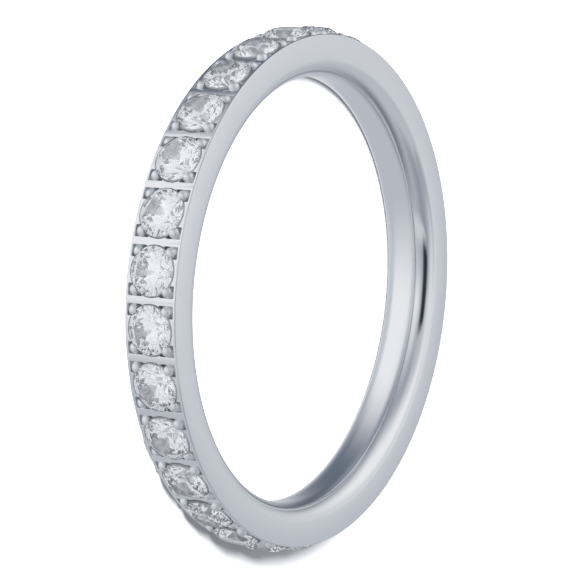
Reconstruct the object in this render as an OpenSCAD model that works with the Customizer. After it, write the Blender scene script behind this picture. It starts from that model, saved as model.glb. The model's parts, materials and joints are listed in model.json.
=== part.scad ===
// Eternity ring: round brilliants all the way round a slim comfort-fit band. Each lies in a cone seat
// and is held by four beads, one in each corner notch of its cell.
// The ring lies on its side. Its axis is Z and its lower flat face is on z = 0.

/* [Band] */
// Diameter of the finger hole at its narrowest, in the middle of the width
finger_d = 17.16; // [16.9:0.02:17.4]
// Outside diameter over the rims
rim_d = 20.6; // [20.5:0.05:20.8]
// Width of the band, along the finger
band_w = 2.3; // [2.25:0.05:2.5]
// Length of the comfort rounding at each end of the finger hole
comfort_l = 0.9; // [0.8:0.02:0.96]
// Radius of the comfort rounding next to the wall of the hole
wall_round = 1; // [1:0.02:1.1]
// Radius of the comfort rounding next to a flat side
side_round = 0.62; // [0.54:0.02:0.66]
// Chamfer that breaks each outer edge of the band
edge_break = 0.04; // [0.02:0.01:0.06]

/* [Stones] */
// Number of stones round the ring, one cell to each
stone_count = 29; // [27:1:29]
// Diameter of a stone at its girdle
stone_d = 1.97; // [1.94:0.01:1.98]
// How far the middle of the girdle lies below the rims
girdle_sink = 0.02; // [0:0.01:0.04]
// Thickness of the girdle at its widest
girdle_t = 0.07; // [0.06:0.01:0.09]
// Diameter of the table, as a share of the stone's
table_share = 0.58; // [0.56:0.01:0.6]
// Crown angle of the main facets
crown_angle = 33; // [32:0.5:34.5]
// Pavilion angle of the main facets
pavilion_angle = 40.8; // [40:0.1:41.5]
// Distance of the star facet tips from the axis, as a share of the stone's radius
star_share = 0.78; // [0.75:0.01:0.8]
// Distance of the lower halves' tips from the axis, as a share of the stone's radius
tip_share = 0.22; // [0.18:0.01:0.3]
// Turn of each stone about its own axis, from one to the next
stone_turn = 17; // [0:1:44]

/* [Setting] */
// Thickness of a rim beside the notches
rim_t = 0.12; // [0.1:0.01:0.14]
// Thickness of a cross bar at its top, between the notches of two cells
bar_t = 0.3; // [0.28:0.01:0.32]
// Length of a notch along the band
notch_l = 0.46; // [0.44:0.01:0.48]
// Width of a notch across the band
notch_w = 0.63; // [0.6:0.01:0.65]
// Depth of a notch's floor below the rims
notch_depth = 0.36; // [0.3:0.02:0.4]
// Diameter of a bead's dome
bead_d = 0.4; // [0.36:0.02:0.4]
// Diameter of a bead's post at its root
root_d = 0.5; // [0.44:0.02:0.5]
// Distance of a bead from the stone's axis, along and across the band
bead_offset = 0.72; // [0.71:0.01:0.73]
// Height of a bead's top above the rims
bead_rise = 0.2; // [0.16:0.02:0.22]
// Lean of a bead's post, in over the stone from the corner of the cell
bead_lean = 14; // [10:1:14]
// Clearance between a stone and the metal round it
seat_gap = 0.02; // [0.015:0.005:0.03]

/* [Hidden] */
$fn = 96;
finger_r = finger_d / 2;
rim_r = rim_d / 2;
mid_z = band_w / 2;
pitch = 360 / stone_count;
first_stone_angle = -90;
// Depth of the comfort rounding, which follows from its two radii meeting smoothly
comfort_depth = wall_round
    - sqrt(pow(wall_round - side_round, 2) - pow(comfort_l - side_round, 2));

girdle_r = rim_r - girdle_sink;
girdle_half = girdle_t / 2;
stone_r = stone_d / 2;
table_r = stone_r * table_share;
star_r = stone_r * star_share;
tip_r = stone_r * tip_share;
facets = 8;
facet_turn = 360 / facets;
girdle_steps = 4 * facets;

// Height of a main facet's plane at a distance from the stone's axis, along the middle of the facet
function crown_z(radius) = girdle_half + (stone_r - radius) * tan(crown_angle);
function pavilion_z(radius) = -girdle_half - (stone_r - radius) * tan(pavilion_angle);

// Tips of the star facets and lower halves lie half a turn between two main facets, in both planes
star_z = crown_z(star_r * cos(facet_turn / 2));
tip_z = pavilion_z(tip_r * cos(facet_turn / 2));

// Depth of a half facet's plane under the girdle's edge, where it meets the round between two corners
function dip_of(radius, rise) =
    stone_r * (1 / cos(facet_turn / 4) - 1) * rise / (stone_r - radius);

cell_l = 2 * rim_r * sin(pitch / 2) - bar_t;
cell_w = band_w - 2 * rim_t;
floor_r = rim_r - notch_depth;
bead_r = bead_d / 2;
// How deep a bead's root reaches into the floor of its notch
root_depth = 0.1;

// The seat is a cone to each side of the girdle, a clearance away from the facets' tips
seat_r = stone_r + seat_gap;
seat_half = girdle_half + seat_gap;
seat_end_r = 0.05;
seat_slope = (-girdle_half - tip_z) / (stone_r - tip_r);
seat_fall = (seat_r - seat_end_r) * seat_slope;

function stone_name(i) = str("stone_", i < 10 ? "0" : "", i);
function stone_angle(i) = first_stone_angle + (i - 1) * pitch;
stone_names = [for (i = [1:stone_count]) stone_name(i)];

// Moves what is drawn round a stone's axis, girdle at z = 0, to cell i
module at_cell(i) {
    rotate([0, 0, stone_angle(i)])
        translate([girdle_r, 0, mid_z])
            rotate([0, 90, 0])
                children();
}

// Section of the band: flat sides, chamfered outer edges, rounded inner edges
module band_section() {
    difference() {
        polygon([
            [finger_r, 0], [rim_r - edge_break, 0], [rim_r, edge_break],
            [rim_r, band_w - edge_break], [rim_r - edge_break, band_w], [finger_r, band_w]
        ]);
        for (side = [0, 1])
            translate([finger_r, side * band_w])
                mirror([0, side, 0])
                    inner_corner();
    }
}

// What the comfort rounding takes off a corner at the origin: a wide arc next to the wall runs into
// a tighter one next to the side, on the line through their centres
module inner_corner() {
    past = 1;
    wall_centre = [wall_round, comfort_l];
    side_centre = [comfort_depth, side_round];
    outwards = (side_centre - wall_centre) / (wall_round - side_round);
    far_point = wall_centre + 2 * wall_round * outwards;
    difference() {
        polygon([wall_centre, far_point, [-past, -past], [-past, comfort_l]]);
        translate(wall_centre)
            circle(wall_round);
    }
    difference() {
        polygon([side_centre, [comfort_depth, -past], [-past, -past], far_point]);
        translate(side_centre)
            circle(side_round);
    }
}

// Notches in the four corners of a cell, between its two bars and the two rims
module corner_notches() {
    notch_top = 1;
    floor_z = floor_r - girdle_r;
    for (side = [0, 1], end = [0, 1])
        mirror([side, 0, 0])
            mirror([0, end, 0])
                translate([cell_w / 2 - notch_w, cell_l / 2 - notch_l, floor_z])
                    cube([notch_w, notch_l, notch_top - floor_z]);
}

// Space that the stone needs: pavilion cone, girdle wall and crown cone
module stone_space() {
    translate([0, 0, -seat_half - seat_fall])
        cylinder(h = seat_fall, r1 = seat_end_r, r2 = seat_r);
    translate([0, 0, -seat_half])
        cylinder(h = 2 * seat_half, r = seat_r);
    translate([0, 0, seat_half])
        cylinder(h = star_z - girdle_half, r1 = seat_r, r2 = star_r + seat_gap);
}

// Bead: a round post with a domed top, that leans in from the corner of the cell along X
module bead() {
    root_z = floor_r - girdle_r - root_depth;
    dome_z = rim_r + bead_rise - bead_r - girdle_r;
    translate([0, 0, dome_z]) {
        rotate([0, 180 - bead_lean, 0])
            cylinder(h = (dome_z - root_z) / cos(bead_lean), r1 = bead_r, r2 = root_d / 2);
        sphere(bead_r);
    }
}

module band() {
    color("#cfd3d8")
        difference() {
            union() {
                difference() {
                    rotate_extrude()
                        band_section();
                    for (i = [1:stone_count])
                        at_cell(i)
                            corner_notches();
                }
                for (i = [1:stone_count])
                    at_cell(i)
                        for (corner = [45, 135, 225, 315])
                            rotate([0, 0, corner])
                                translate([bead_offset * sqrt(2), 0, 0])
                                    bead();
            }
            for (i = [1:stone_count])
                at_cell(i)
                    stone_space();
        }
}

// Point at a radius and height, turned by a number of main facets
function around(radius, turn, z) =
    [radius * cos(turn * facet_turn), radius * sin(turn * facet_turn), z];
function facet_ring(radius, turn, z) =
    [for (k = [0:facets - 1]) around(radius, k + turn, z)];
// Edge of the girdle: every second point dips, where the plane of a half facet meets the round
function girdle_ring(z, dip) =
    [for (s = [0:girdle_steps - 1]) around(stone_r, s / 4, z - (s % 2) * dip)];

stone_points = concat(
    facet_ring(table_r, 0, crown_z(table_r)),
    facet_ring(star_r, 0.5, star_z),
    girdle_ring(girdle_half, dip_of(star_r, star_z - girdle_half)),
    girdle_ring(-girdle_half, -dip_of(tip_r, -girdle_half - tip_z)),
    facet_ring(tip_r, 0.5, tip_z),
    [[0, 0, pavilion_z(0)]]
);

// Places of the rings in the list of points
function table(k) = k % facets;
function star(k) = facets + (k + facets) % facets;
function upper(s) = 2 * facets + s % girdle_steps;
function lower(s) = 2 * facets + girdle_steps + s % girdle_steps;
function tip(k) = 2 * (facets + girdle_steps) + (k + facets) % facets;
culet = len(stone_points) - 1;

stone_faces = concat(
    // Table
    [[for (k = [facets - 1:-1:0]) table(k)]],
    // Star facets, main crown facets and the two upper halves beside each
    [for (k = [0:facets - 1]) [table(k), table(k + 1), star(k)]],
    [for (k = [0:facets - 1]) [table(k), star(k), upper(4 * k), star(k - 1)]],
    [for (k = [0:facets - 1], s = [4 * k, 4 * k + 2]) [star(k), upper(s + 2), upper(s + 1), upper(s)]],
    // Girdle
    [for (s = [0:girdle_steps - 1]) [upper(s), upper(s + 1), lower(s + 1), lower(s)]],
    // Lower halves and main pavilion facets
    [for (k = [0:facets - 1], s = [4 * k, 4 * k + 2]) [tip(k), lower(s), lower(s + 1), lower(s + 2)]],
    [for (k = [0:facets - 1]) [culet, tip(k - 1), lower(4 * k), tip(k)]]
);

module stone(i) {
    color("#f2f5fa")
        at_cell(i)
            rotate([0, 0, i * stone_turn])
                polyhedron(points = stone_points, faces = stone_faces, convexity = 2);
}

band();
for (i = [1:stone_count])
    stone(i);
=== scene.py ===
# Eternity ring with cubic zirconia stones, lying on its side on a pale board in a small light tent.
# Metres in the frame of the CAD: the ring's axis is Z and its lower flat side is on z = 0.
import json
from math import cos, hypot, radians, sin, tan

import bmesh
import bpy
from mathutils import Matrix, Vector


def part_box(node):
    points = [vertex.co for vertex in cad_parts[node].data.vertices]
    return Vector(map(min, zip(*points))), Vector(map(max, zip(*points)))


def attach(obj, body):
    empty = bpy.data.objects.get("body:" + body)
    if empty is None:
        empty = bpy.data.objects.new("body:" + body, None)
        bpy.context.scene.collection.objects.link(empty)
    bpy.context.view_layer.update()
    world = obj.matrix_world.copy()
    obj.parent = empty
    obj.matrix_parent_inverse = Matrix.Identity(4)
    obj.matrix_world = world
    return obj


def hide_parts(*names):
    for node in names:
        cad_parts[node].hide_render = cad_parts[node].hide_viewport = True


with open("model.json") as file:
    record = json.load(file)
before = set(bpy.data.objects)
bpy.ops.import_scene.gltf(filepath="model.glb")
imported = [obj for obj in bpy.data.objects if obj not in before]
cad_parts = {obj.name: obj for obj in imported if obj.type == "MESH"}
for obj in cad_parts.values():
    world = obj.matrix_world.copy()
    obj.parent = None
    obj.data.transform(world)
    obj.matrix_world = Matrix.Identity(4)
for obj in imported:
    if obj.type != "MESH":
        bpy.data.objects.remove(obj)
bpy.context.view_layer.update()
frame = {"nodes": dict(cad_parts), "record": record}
mm = 0.001
scene = bpy.context.scene
stoneNames = sorted(name for name in frame["nodes"] if name.startswith("stone_"))
fingerHole = next(m for m in frame["record"]["mounts"] if m["name"] == "finger_hole")
holeRadius = fingerHole["dims"]["r_mm"]
print("frame loaded:", len(frame["nodes"]), "nodes,", len(stoneNames), "stones")


def linear(hexColour):  # sRGB hex to a linear colour with full alpha
    shares = [int(hexColour[i:i + 2], 16) / 255 for i in (1, 3, 5)]
    return [s / 12.92 if s <= 0.04045 else ((s + 0.055) / 1.055) ** 2.4 for s in shares] + [1]


def addNode(tree, kind, sockets=None, **settings):  # one node, its settings, its values and its links
    node = tree.nodes.new(kind)
    for name, value in settings.items():
        setattr(node, name, value)
    for socket, value in (sockets or {}).items():
        if isinstance(value, bpy.types.NodeSocket):
            tree.links.new(value, node.inputs[socket])
        else:
            node.inputs[socket].default_value = value
    return node


def newMaterial(name):
    material = bpy.data.materials.new(name)
    material.use_nodes = True
    material.node_tree.nodes.clear()
    return material, material.node_tree


def lengthOf(tree, aside, across):  # how far two steps at right angles lead
    flat = addNode(tree, "ShaderNodeCombineXYZ", {0: aside, 1: across}).outputs[0]
    return addNode(tree, "ShaderNodeVectorMath", {0: flat}, operation="LENGTH").outputs["Value"]


# Places on the ring as radius, height and way round, in millimetres: marks of the wheel run round it.
# The way round is measured on the wall of the finger hole
def roundTheRing(tree):
    place = addNode(tree, "ShaderNodeTexCoord").outputs["Object"]
    inMillimetres = addNode(tree, "ShaderNodeVectorMath", {0: place, "Scale": 1 / mm},
                            operation="SCALE").outputs[0]
    axes = addNode(tree, "ShaderNodeSeparateXYZ", {0: inMillimetres}).outputs
    radius = lengthOf(tree, axes[0], axes[1])
    angle = addNode(tree, "ShaderNodeMath", {0: axes[1], 1: axes[0]}, operation="ARCTAN2").outputs[0]
    way = addNode(tree, "ShaderNodeMath", {0: angle, 1: holeRadius}, operation="MULTIPLY").outputs[0]
    return addNode(tree, "ShaderNodeCombineXYZ", {0: radius, 1: axes[2], 2: way}).outputs[0], inMillimetres


# Each look has its roughness from smooth to dull, the size of its marks across and along, and their
# depth, in mm
metalLooks = {
    # Rhodium plate on sterling silver, polished on a wheel: a cool mirror with the faintest marks
    "rhodiumPolished": {"colour": "#e8e9eb", "roughness": (0.05, 0.09), "marks": (0.05, 3.0),
                        "depth": 0.00012},
    # The same plate, lapped flat on a disc: satin, with fine marks that run round
    "rhodiumLapped": {"colour": "#e8e9eb", "roughness": (0.17, 0.23), "marks": (0.07, 4.0),
                      "depth": 0.0003},
    # The same plate on the cast metal in the cells, which no wheel reaches: dull and grainy. Its colour is
    # a little whiter than the plate's: painted light against the shade in the cells
    "rhodiumCastPaintedLighter": {"colour": "#eeeff1", "roughness": (0.3, 0.4), "marks": (0.06, 0.06),
                    "depth": 0.003},
    # The same plate on beads that are pushed over and rounded with a cup burr: a soft satin. Its colour is
    # whiter than the plate's: painted light on the beads
    "rhodiumBurnishedPaintedLighter": {"colour": "#f6f7f8", "roughness": (0.42, 0.5), "marks": (0.08, 0.08),
                         "depth": 0.0012},
}
# The roughness wanders in patches, so many to a mm, between these two levels of the noise
polishPatches = {"perMm": 0.6, "low": 0.35, "high": 0.65}


def metal(name):
    look = metalLooks[name]
    material, tree = newMaterial(name)
    way, straight = roundTheRing(tree)
    across, along = look["marks"]
    stretch = (1 / across, 1 / across, 1 / along)
    spread = addNode(tree, "ShaderNodeVectorMath", {0: way, 1: stretch}, operation="MULTIPLY").outputs[0]
    marks = addNode(tree, "ShaderNodeTexNoise", {"Vector": spread, "Scale": 1.0, "Detail": 2.0}).outputs[0]
    patches = addNode(tree, "ShaderNodeTexNoise", {
        "Vector": straight, "Scale": polishPatches["perMm"], "Detail": 3.0}).outputs[0]
    smooth, dull = look["roughness"]
    rough = addNode(tree, "ShaderNodeMapRange", {
        "Value": patches, "From Min": polishPatches["low"], "From Max": polishPatches["high"],
        "To Min": smooth, "To Max": dull}).outputs[0]
    relief = addNode(tree, "ShaderNodeBump",
                     {"Strength": 1.0, "Distance": look["depth"] * mm, "Height": marks}).outputs[0]
    shader = addNode(tree, "ShaderNodeBsdfPrincipled", {
        "Base Color": linear(look["colour"]), "Metallic": 1.0, "Roughness": rough, "Normal": relief})
    addNode(tree, "ShaderNodeOutputMaterial", {"Surface": shader.outputs[0]})
    return material


# The polish changes over patches of so many mm, between two levels of the noise. The ground girdle
# starts so many mm from the stone's axis. From there out the stone is also painted grey: a painted shade
# of the gap round the stone, spread onto the crown's edge
zirconiaLook = {
    "colour": "#fbfcff", "ior": 2.17, "roughness": (0.0, 0.004), "patch": 1.4, "levels": (0.4, 0.6),
    "clear": 0.97, "girdleAndShadeFrom": 0.948, "girdleAndGapShadeColour": "#a9aeb8", "girdleRoughness": 0.4,
}


# Cubic zirconia, sawn and polished on a lap: clear, very bright and flat on each facet. The girdle is
# ground, and it and the crown's edge are painted grey as shade of the gap round the stone
def zirconia(count, firstAngle, middle):
    material, tree = newMaterial("cubicZirconiaCut")
    place = addNode(tree, "ShaderNodeTexCoord").outputs["Object"]
    axes = addNode(tree, "ShaderNodeSeparateXYZ", {0: place}).outputs
    # Distance from the axis of the nearest stone, in millimetres
    half = radians(180 / count)
    angle = addNode(tree, "ShaderNodeMath", {0: axes[1], 1: axes[0]}, operation="ARCTAN2").outputs[0]
    angle = addNode(tree, "ShaderNodeMath", {0: angle, 1: radians(firstAngle)},
                    operation="SUBTRACT").outputs[0]
    angle = addNode(tree, "ShaderNodeMath", {0: angle, 1: half, 2: -half}, operation="WRAP").outputs[0]
    aside = addNode(tree, "ShaderNodeMath", {0: angle}, operation="SINE").outputs[0]
    aside = addNode(tree, "ShaderNodeMath", {0: aside, 1: lengthOf(tree, axes[0], axes[1])},
                    operation="MULTIPLY").outputs[0]
    across = addNode(tree, "ShaderNodeMath", {0: axes[2], 1: middle * mm},
                     operation="SUBTRACT").outputs[0]
    distance = addNode(tree, "ShaderNodeMath", {0: lengthOf(tree, aside, across), 1: mm},
                       operation="DIVIDE").outputs[0]
    # Past this distance the stone is ground, and also painted grey as shade of the gap round it
    groundAndShaded = addNode(tree, "ShaderNodeMath", {0: distance, 1: zirconiaLook["girdleAndShadeFrom"]},
                     operation="GREATER_THAN").outputs[0]
    scale = 1 / (zirconiaLook["patch"] * mm)
    polish = addNode(tree, "ShaderNodeTexNoise",
                     {"Vector": place, "Scale": scale, "Detail": 2.0}).outputs[0]
    low, high = zirconiaLook["levels"]
    smooth, dull = zirconiaLook["roughness"]
    rough = addNode(tree, "ShaderNodeMapRange", {"Value": polish, "From Min": low, "From Max": high,
                                                 "To Min": smooth, "To Max": dull}).outputs[0]
    rough = addNode(tree, "ShaderNodeMix",
                    {"Factor": groundAndShaded, 2: rough, 3: zirconiaLook["girdleRoughness"]})
    # The grey is partly the ground girdle and partly a painted shade of the gap round the stone
    colour = addNode(tree, "ShaderNodeMix", {"Factor": groundAndShaded, 6: linear(zirconiaLook["colour"]),
                                             7: linear(zirconiaLook["girdleAndGapShadeColour"])}, data_type="RGBA")
    shader = addNode(tree, "ShaderNodeBsdfPrincipled", {
        "Base Color": colour.outputs[2], "Roughness": rough.outputs[0],
        "IOR": zirconiaLook["ior"], "Transmission Weight": zirconiaLook["clear"]})
    addNode(tree, "ShaderNodeOutputMaterial", {"Surface": shader.outputs[0]})
    return material


finishes = [metal(name) for name in metalLooks]
polished, lapped, cast, burnished = range(len(finishes))
print("materials made")


# The band is modelled in millimetres on one stone's share of it, and then repeated all the way round
bandLow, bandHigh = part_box("band")
band = {
    "holeRadius": holeRadius,
    "rimRadius": 10.3,
    "width": (bandHigh.z - bandLow.z) / mm,
    "comfortLength": 0.9,
    "comfortDepth": 0.742,
    "outerEdge": 0.04,
    "edgeSteps": 3,
    "roundingSteps": 12,
    "stepsPerCell": 12,
}
cell = {
    "count": len(stoneNames),
    "firstAngle": -90,
    "bar": 0.3,
    "rim": 0.12,
    "notchLength": 0.46,
    "notchWidth": 0.63,
    "notchDepth": 0.36,
    "corner": 0.04,
    "mouthEdge": 0.016,
    "toolHeight": 1.5,
}
stone = {
    "facets": 8,
    "radius": 0.985,
    "girdleSink": 0.02,
    "girdle": 0.07,
    "starShare": 0.78,
    "tipShare": 0.22,
    "crownAngle": 33,
    "pavilionAngle": 40.8,
    "clearance": 0.02,
    "seatEnd": 0.05,
    "seatSteps": 64,
}
bead = {"radius": 0.235, "rootRadius": 0.42, "offset": 0.72, "rise": 0.14, "root": 0.1, "lean": 14,
        "intoWall": 0.03, "steps": 32}

# Edges that turn further than these get the mouth's round, or stay sharp
mouthAngle, smoothAngle = radians(50), radians(35)
# A face with this much of its normal along Z belongs to a flat side. A point this near the rim's radius
# is a corner of the section, and one of the notched share is on the outside up to rimSlack inside it
flatSide, sameSpot, rimSlack = 0.999, 0.001, 0.02
# Points this near are joined in a tool, and where the shares are sewn together. Slopes this near match
weld, seam, sameSlope = 1e-5, 1e-4, 1e-5

pitch = radians(360 / cell["count"])
midHeight = band["width"] / 2
girdleRadius = band["rimRadius"] - stone["girdleSink"]
floorHeight = band["rimRadius"] - cell["notchDepth"] - girdleRadius
# From a cell's own axes (X across the band, Y along it, Z outwards from the girdle) to the first cell
cellPlace = (Matrix.Rotation(radians(cell["firstAngle"]), 4, "Z")
             @ Matrix.Translation((girdleRadius, 0, midHeight)) @ Matrix.Rotation(radians(90), 4, "Y"))


def everything(shape):
    return shape.verts[:] + shape.edges[:] + shape.faces[:]


def newPiece(name, shape):
    mesh = bpy.data.meshes.new(name)
    shape.to_mesh(mesh)
    shape.free()
    for finish in finishes:
        mesh.materials.append(finish)
    piece = bpy.data.objects.new(name, mesh)
    scene.collection.objects.link(piece)
    return piece


def combine(piece, operation, tool):  # an exact Boolean, applied; the tool is used up
    step = piece.modifiers.new(operation, "BOOLEAN")
    step.operation, step.solver, step.object = operation, "EXACT", tool
    made = bpy.data.meshes.new_from_object(piece.evaluated_get(bpy.context.evaluated_depsgraph_get()))
    piece.modifiers.clear()
    piece.data = made
    bpy.data.objects.remove(tool)


# A closed solid turned round Z from a line that starts and ends on it
def spunSolid(points, steps, finish):
    shape = bmesh.new()
    verts = [shape.verts.new((radius, 0, height)) for radius, height in points]
    edges = [shape.edges.new(pair) for pair in zip(verts, verts[1:])]
    bmesh.ops.spin(shape, geom=verts + edges, cent=(0, 0, 0), axis=(0, 0, 1), angle=radians(360),
                   steps=steps, use_merge=True)
    bmesh.ops.remove_doubles(shape, verts=shape.verts, dist=weld)
    bmesh.ops.recalc_face_normals(shape, faces=shape.faces)
    for face in shape.faces:
        face.material_index = finish
    return shape


def bandShare():
    shape = bmesh.new()
    low, high = -midHeight, midHeight
    hole, rim = band["holeRadius"], band["rimRadius"]
    corners = [shape.verts.new((radius, 0, height))
               for radius, height in ((hole, low), (rim, low), (rim, high), (hole, high))]
    shape.faces.new(corners)
    # The comfort rounding is longer along the finger than it is deep: a round, flattened towards the hole
    length, depth = band["comfortLength"], band["comfortDepth"]
    bmesh.ops.bevel(shape, geom=corners[::3], offset=length, offset_type="OFFSET", affect="VERTICES",
                    segments=band["roundingSteps"], profile=0.5, material=-1)
    inside = [v for v in shape.verts if v.co.x < rim - sameSpot]
    bmesh.ops.scale(shape, verts=inside, vec=(depth / length, 1, 1), space=Matrix.Translation((-hole, 0, 0)))
    outside = [v for v in shape.verts if v.co.x > rim - sameSpot]
    bmesh.ops.bevel(shape, geom=outside, offset=band["outerEdge"], offset_type="OFFSET", affect="VERTICES",
                    segments=band["edgeSteps"], profile=0.5, material=-1)
    bmesh.ops.translate(shape, verts=shape.verts, vec=(0, 0, midHeight))
    bmesh.ops.rotate(shape, verts=shape.verts, cent=(0, 0, 0),
                     matrix=Matrix.Rotation(radians(cell["firstAngle"]) - pitch / 2, 3, "Z"))
    bmesh.ops.spin(shape, geom=everything(shape), cent=(0, 0, 0), axis=(0, 0, 1),
                   angle=pitch, steps=band["stepsPerCell"])
    bmesh.ops.recalc_face_normals(shape, faces=shape.faces)
    for face in shape.faces:
        face.material_index = lapped if abs(face.normal.z) > flatSide else polished
    return newPiece("bandShare", shape)


def notchTool(outwards=0):  # a cell's four corner notches, or blocks that reach into their walls and floor
    shape = bmesh.new()
    bmesh.ops.create_cube(shape, size=1)
    long, wide, high = cell["notchLength"], cell["notchWidth"], cell["toolHeight"]
    along = band["rimRadius"] * sin(pitch / 2) - cell["bar"] / 2 - long / 2
    across = band["width"] / 2 - cell["rim"] - wide / 2
    bmesh.ops.scale(shape, verts=shape.verts, vec=(wide + 2 * outwards, long + 2 * outwards, high))
    bmesh.ops.translate(shape, verts=shape.verts,
                        vec=(across, along, floorHeight - outwards + high / 2))
    upright = [e for e in shape.edges if abs(e.verts[0].co.z - e.verts[1].co.z) > high / 2]
    bmesh.ops.bevel(shape, geom=upright, offset=cell["corner"], offset_type="OFFSET", affect="EDGES",
                    segments=band["edgeSteps"], profile=0.5, material=-1)
    for axis in "XY":
        bmesh.ops.mirror(shape, geom=everything(shape), merge_dist=weld, axis=axis)
    bmesh.ops.recalc_face_normals(shape, faces=shape.faces)
    shape.transform(cellPlace)
    for face in shape.faces:
        face.material_index = cast
    return newPiece("notches", shape)


def softenMouth(piece):  # a small round where the notches' walls meet the outside of the band
    shape = bmesh.new()
    shape.from_mesh(piece.data)
    margin = band["outerEdge"] * 1.5  # clear of the rounds of the outer edges
    outside = band["rimRadius"] - rimSlack
    mouth = [e for e in shape.edges
             if len(e.link_faces) == 2 and e.calc_face_angle() > mouthAngle
             and all(hypot(v.co.x, v.co.y) > outside
                     and margin < v.co.z < band["width"] - margin for v in e.verts)]
    bmesh.ops.bevel(shape, geom=mouth, offset=cell["mouthEdge"], offset_type="OFFSET", affect="EDGES",
                    segments=band["edgeSteps"], profile=0.5, material=polished)
    shape.to_mesh(piece.data)
    shape.free()


def beadTools():  # four posts that lean in over the stone from the cell's corners, with domed tops
    dome = band["rimRadius"] + bead["rise"] - bead["radius"] - girdleRadius
    length = (dome - floorHeight + bead["root"]) / cos(radians(bead["lean"]))
    steps = bead["steps"] // 4
    quarter = [radians(90 * i / steps) for i in range(steps + 1)]
    line = [(0, -length), (bead["rootRadius"], -length)]
    line += [(bead["radius"] * cos(a), bead["radius"] * sin(a)) for a in quarter]
    shape = spunSolid(line, bead["steps"], burnished)
    bmesh.ops.rotate(shape, verts=shape.verts, cent=(0, 0, 0),
                     matrix=Matrix.Rotation(-radians(bead["lean"]), 3, "Y"))
    bmesh.ops.translate(shape, verts=shape.verts, vec=(hypot(bead["offset"], bead["offset"]), 0, dome))
    bmesh.ops.rotate(shape, verts=shape.verts, cent=(0, 0, 0),
                     matrix=Matrix.Rotation(radians(45), 3, "Z"))
    bmesh.ops.spin(shape, geom=everything(shape), cent=(0, 0, 0), axis=(0, 0, 1),
                   angle=radians(270), steps=3, use_duplicate=True)
    bmesh.ops.recalc_face_normals(shape, faces=shape.faces)
    shape.transform(cellPlace)
    piece = newPiece("beads", shape)
    combine(piece, "INTERSECT", notchTool(bead["intoWall"]))
    for face in piece.data.polygons:
        face.material_index = burnished
    return piece


def stoneSpace():  # pavilion cone, girdle wall and crown cone, a clearance away from the stone
    half = stone["girdle"] / 2
    halfFacet = cos(radians(180 / stone["facets"]))
    starRadius, tipRadius = stone["radius"] * stone["starShare"], stone["radius"] * stone["tipShare"]
    starRise = (stone["radius"] - starRadius * halfFacet) * tan(radians(stone["crownAngle"]))
    tipDrop = (stone["radius"] - tipRadius * halfFacet) * tan(radians(stone["pavilionAngle"]))
    gap = stone["clearance"]
    seatRadius, seatHalf = stone["radius"] + gap, half + gap
    seatDrop = (seatRadius - stone["seatEnd"]) * tipDrop / (stone["radius"] - tipRadius)
    line = [(0, -seatHalf - seatDrop), (stone["seatEnd"], -seatHalf - seatDrop), (seatRadius, -seatHalf),
            (seatRadius, seatHalf), (starRadius + gap, seatHalf + starRise), (0, seatHalf + starRise)]
    shape = spunSolid(line, stone["seatSteps"], cast)
    for face in shape.faces:
        if face.calc_center_median().z > 0:
            face.material_index = burnished
    shape.transform(cellPlace)
    return newPiece("stoneSpace", shape)


def onCutEnd(vert):  # whether a vertex lies on one of the two ends of a cell's share
    fromMiddle = Matrix.Rotation(-radians(cell["firstAngle"]), 3, "Z") @ vert.co
    return abs(abs(fromMiddle.y / fromMiddle.x) - tan(pitch / 2)) < sameSlope


def ringBand():
    piece = bandShare()
    combine(piece, "DIFFERENCE", notchTool())
    softenMouth(piece)
    combine(piece, "UNION", beadTools())
    combine(piece, "DIFFERENCE", stoneSpace())
    shape = bmesh.new()
    shape.from_mesh(piece.data)
    # The two cut ends go, then the share is repeated and sewn together
    ends = [f for f in shape.faces if all(onCutEnd(v) for v in f.verts)]
    bmesh.ops.delete(shape, geom=ends, context="FACES")
    turns = cell["count"] - 1
    bmesh.ops.spin(shape, geom=everything(shape), cent=(0, 0, 0), axis=(0, 0, 1),
                   angle=pitch * turns, steps=turns, use_duplicate=True)
    bmesh.ops.remove_doubles(shape, verts=shape.verts, dist=seam)
    bmesh.ops.recalc_face_normals(shape, faces=shape.faces)
    openEdges = [e for e in shape.edges if len(e.link_faces) != 2]
    print("band:", len(shape.faces), "faces,", len(openEdges), "open edges")
    for face in shape.faces:
        face.smooth = True
    for edge in shape.edges:
        edge.smooth = len(edge.link_faces) == 2 and edge.calc_face_angle() < smoothAngle
    bmesh.ops.scale(shape, verts=shape.verts, vec=(mm, mm, mm))
    shape.to_mesh(piece.data)
    shape.free()
    piece.name = "ringBand"
    normals = piece.modifiers.new("flat faces stay flat", "WEIGHTED_NORMAL")
    normals.keep_sharp = True
    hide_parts("band")
    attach(piece, "root")


ringBand()
print("band modelled")


# The stones keep the CAD's facets
cutStone = zirconia(cell["count"], cell["firstAngle"], midHeight)
for name in stoneNames:
    frame["nodes"][name].material_slots[0].material = cutStone
print("stones finished")


# The board reaches out of every view. Its grain repeats so often in a metre, and its depth is in mm
board = {"radius": 1.5, "colour": "#babbbd", "roughness": 0.9, "grain": 900.0, "grainDepth": 0.02,
         "grainStrength": 0.2, "glowColour": "#f6f8fb", "glow": 0.07}


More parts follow.
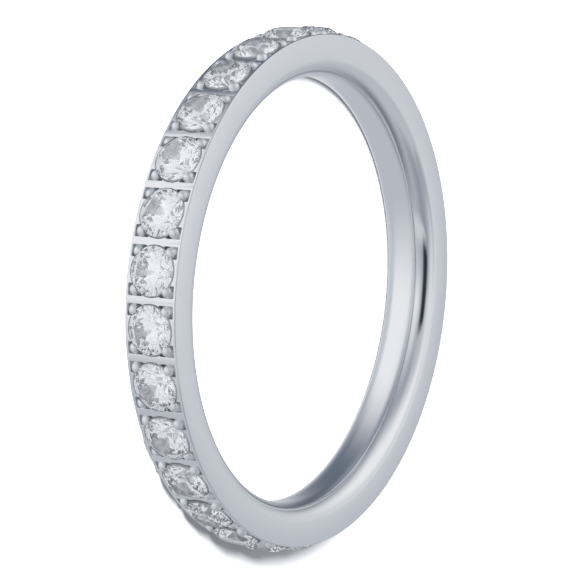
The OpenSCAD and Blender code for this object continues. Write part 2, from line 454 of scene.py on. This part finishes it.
# Opal acrylic sheet, cast and matted: white and even, lit a little from below, it shows no gloss
def opalBoard():
    material, tree = newMaterial("opalAcrylic")
    place = addNode(tree, "ShaderNodeTexCoord").outputs["Object"]
    grain = addNode(tree, "ShaderNodeTexNoise",
                    {"Vector": place, "Scale": board["grain"], "Detail": 2.0}).outputs[0]
    relief = addNode(tree, "ShaderNodeBump", {
        "Strength": board["grainStrength"], "Distance": board["grainDepth"] * mm,
        "Height": grain}).outputs[0]
    shader = addNode(tree, "ShaderNodeBsdfPrincipled", {
        "Base Color": linear(board["colour"]), "Roughness": board["roughness"],
        "Specular IOR Level": 0.0, "Normal": relief,
        "Emission Color": linear(board["glowColour"]), "Emission Strength": board["glow"]})
    addNode(tree, "ShaderNodeOutputMaterial", {"Surface": shader.outputs[0]})
    shape = bmesh.new()
    bmesh.ops.create_circle(shape, cap_ends=True, segments=64, radius=board["radius"])
    mesh = bpy.data.meshes.new("board")
    shape.to_mesh(mesh)
    shape.free()
    mesh.materials.append(material)
    piece = bpy.data.objects.new("board", mesh)
    scene.collection.objects.link(piece)
    # The metal mirrors the cards of the tent instead, and the stones gather their light from them
    piece.visible_glossy = piece.visible_transmission = False


# The tent round the ring, painted from the far layer to the near one. Azimuth runs from -Y towards -X.
# Each panel has its even part in azimuth and elevation, from and to, with the width of its soft edges
# as the third number, and then its light and its tint.
tent = {
    "wall": {"light": 0.64, "tint": "#f1f6ff"},
    "stoneFill": {"share": 0.62, "light": 0.86, "tint": "#fdfdff"},
    "panels": {
        "underside": ((-180, 180, 1), (-90, -73, 8), 0.71, "#f3f7ff"),
        "backFloor": ((161, 187, 25), (-66, -34, 4), 0.85, "#f9fbff"),
        "frontBoard": ((6, 62, 70), (-53, -31, 26), 1.02, "#fbfcff"),
        "darkSide": ((110, 116, 70), (-38, -26, 40), 0.25, "#d6e7ff"),
        "darkBand": ((134, 136, 37), (-10, -8, 33), 0.13, "#d0e2ff"),
        "lowBand": ((-113, -96, 68), (1, 3, 26), 0.26, "#eaf1ff"),
        "dimRight": ((-84, -32, 40), (46, 80, 40), 0.42, "#ebf1ff"),
        "upperDim": ((-133, -70, 36), (58, 66, 5), 0.47, "#eff4ff"),
        "frontPatch": ((4, 44, 31), (8, 14, 20), 0.97, "#f9fcff"),
        "sideGlow": ((-40, -38, 11), (8, 45, 16), 0.76, "#f5faff"),
        "dimLeft": ((66, 95, 70), (-8, 31, 23), 0.38, "#e2eeff"),
        "back": ((174, 176, 23), (53, 80, 40), 0.85, "#f7faff"),
        "key": ((104, 121, 70), (35, 78, 40), 1.00, "#fcfdff"),
        "top": ((-180, 180, 1), (89, 90, 30), 0.90, "#f8f9ff"),
        "cameraGap": ((-30, 10, 14), (44, 54, 14), 0.05, "#d7eaff"),
    },
}


def lightTent():
    world = bpy.data.worlds.new("lightTent")
    world.use_nodes = True
    scene.world = world
    tree = world.node_tree
    tree.nodes.clear()

    def within(angle, low, high, soft):  # 1 on the even part, and down to 0 across the soft edge
        off = addNode(tree, "ShaderNodeMath", {0: angle, 1: (low + high) / 2}, operation="SUBTRACT")
        off = addNode(tree, "ShaderNodeMath", {0: off.outputs[0], 1: 180, 2: -180}, operation="WRAP")
        off = addNode(tree, "ShaderNodeMath", {0: off.outputs[0]}, operation="ABSOLUTE")
        half = (high - low) / 2
        edge = {"Value": off.outputs[0], "From Min": half + soft, "From Max": half, "To Min": 0, "To Max": 1}
        return addNode(tree, "ShaderNodeMapRange", edge, interpolation_type="SMOOTHSTEP").outputs[0]

    # The way that a ray goes, turned so that azimuth 0 is -Y, and then as two angles in degrees
    way = addNode(tree, "ShaderNodeTexCoord").outputs["Generated"]
    way = addNode(tree, "ShaderNodeVectorMath", {0: way, 1: (-1, -1, 1)}, operation="MULTIPLY").outputs[0]
    axes = addNode(tree, "ShaderNodeSeparateXYZ", {0: way}).outputs
    azimuth = addNode(tree, "ShaderNodeMath", {0: axes[0], 1: axes[1]}, operation="ARCTAN2").outputs[0]
    azimuth = addNode(tree, "ShaderNodeMath", {0: azimuth}, operation="DEGREES").outputs[0]
    elevation = addNode(tree, "ShaderNodeMath", {0: axes[2]}, operation="ARCSINE").outputs[0]
    elevation = addNode(tree, "ShaderNodeMath", {0: elevation}, operation="DEGREES").outputs[0]
    light = [c * tent["wall"]["light"] for c in linear(tent["wall"]["tint"])]
    for across, up, strength, tint in tent["panels"].values():
        share = addNode(tree, "ShaderNodeMath", {0: within(azimuth, *across), 1: within(elevation, *up)},
                        operation="MULTIPLY").outputs[0]
        own = [c * strength for c in linear(tint)]
        light = addNode(tree, "ShaderNodeMix", {"Factor": share, 6: light, 7: own},
                        data_type="RGBA").outputs[2]
    # Small cards close to the stones fill their dark sides: only light from inside a stone meets them
    fill = tent["stoneFill"]
    inside = addNode(tree, "ShaderNodeLightPath").outputs["Is Transmission Ray"]
    share = addNode(tree, "ShaderNodeMath", {0: inside, 1: fill["share"]}, operation="MULTIPLY").outputs[0]
    own = [c * fill["light"] for c in linear(fill["tint"])]
    light = addNode(tree, "ShaderNodeMix", {"Factor": share, 6: light, 7: own},
                    data_type="RGBA").outputs[2]
    shader = addNode(tree, "ShaderNodeBackground", {"Color": light, "Strength": 1.0})
    addNode(tree, "ShaderNodeOutputWorld", {"Surface": shader.outputs[0]})


# A round softbox for the board alone, over the -X side of the ring, whose shadow then lies along the
# +X side. In mm and watts
lamp = {"place": (-14, -40, 46), "size": 26, "power": 0.22}


def direction(azimuth, elevation):  # azimuth 0 is -Y and 90 is -X
    a, e = radians(azimuth), radians(elevation)
    return Vector((-sin(a) * cos(e), -cos(a) * cos(e), sin(e)))


def boardLamp():
    light = bpy.data.lights.new("boardLamp", "AREA")
    light.shape, light.size, light.energy = "DISK", lamp["size"] * mm, lamp["power"]
    piece = bpy.data.objects.new("boardLamp", light)
    piece.location = Vector(lamp["place"]) * mm
    piece.rotation_euler = piece.location.to_track_quat("Z", "Y").to_euler()
    piece.visible_glossy = piece.visible_transmission = False
    scene.collection.objects.link(piece)


# The photograph's view: where the camera stands, in degrees and mm, how it is turned, and the pixel
# that shows the ring's middle. The clip distances are in metres
photo = {
    "azimuth": 0.938, "elevation": 32.113, "distance": 116.85, "roll": 95.279, "sensor": 36,
    "lensInPixels": 2896.8, "side": 584, "middle": (297.4, 289.4), "clip": (0.01, 10),
}


def photoCamera():
    camera = bpy.data.cameras.new("photoCamera")
    camera.sensor_width = photo["sensor"]
    camera.lens = camera.sensor_width * photo["lensInPixels"] / photo["side"]
    camera.clip_start, camera.clip_end = photo["clip"]
    back = direction(-photo["azimuth"], photo["elevation"])
    turn = back.to_track_quat("Z", "Y").to_matrix() @ Matrix.Rotation(radians(photo["roll"]), 3, "Z")
    distance = photo["distance"] * mm
    perPixel = distance / photo["lensInPixels"]
    aside = (photo["middle"][0] - photo["side"] / 2) * perPixel
    down = (photo["middle"][1] - photo["side"] / 2) * perPixel
    middle = Vector((0, 0, midHeight * mm))
    piece = bpy.data.objects.new("photoCamera", camera)
    piece.matrix_world = Matrix.Translation(
        middle + back * distance - turn.col[0] * aside + turn.col[1] * down) @ turn.to_4x4()
    scene.collection.objects.link(piece)
    scene.camera = piece


opalBoard()
lightTent()
boardLamp()
photoCamera()
scene.view_settings.view_transform = "Standard"
scene.cycles.max_bounces = 20
scene.cycles.glossy_bounces = scene.cycles.transmission_bounces = 16
print("board, light and camera made")
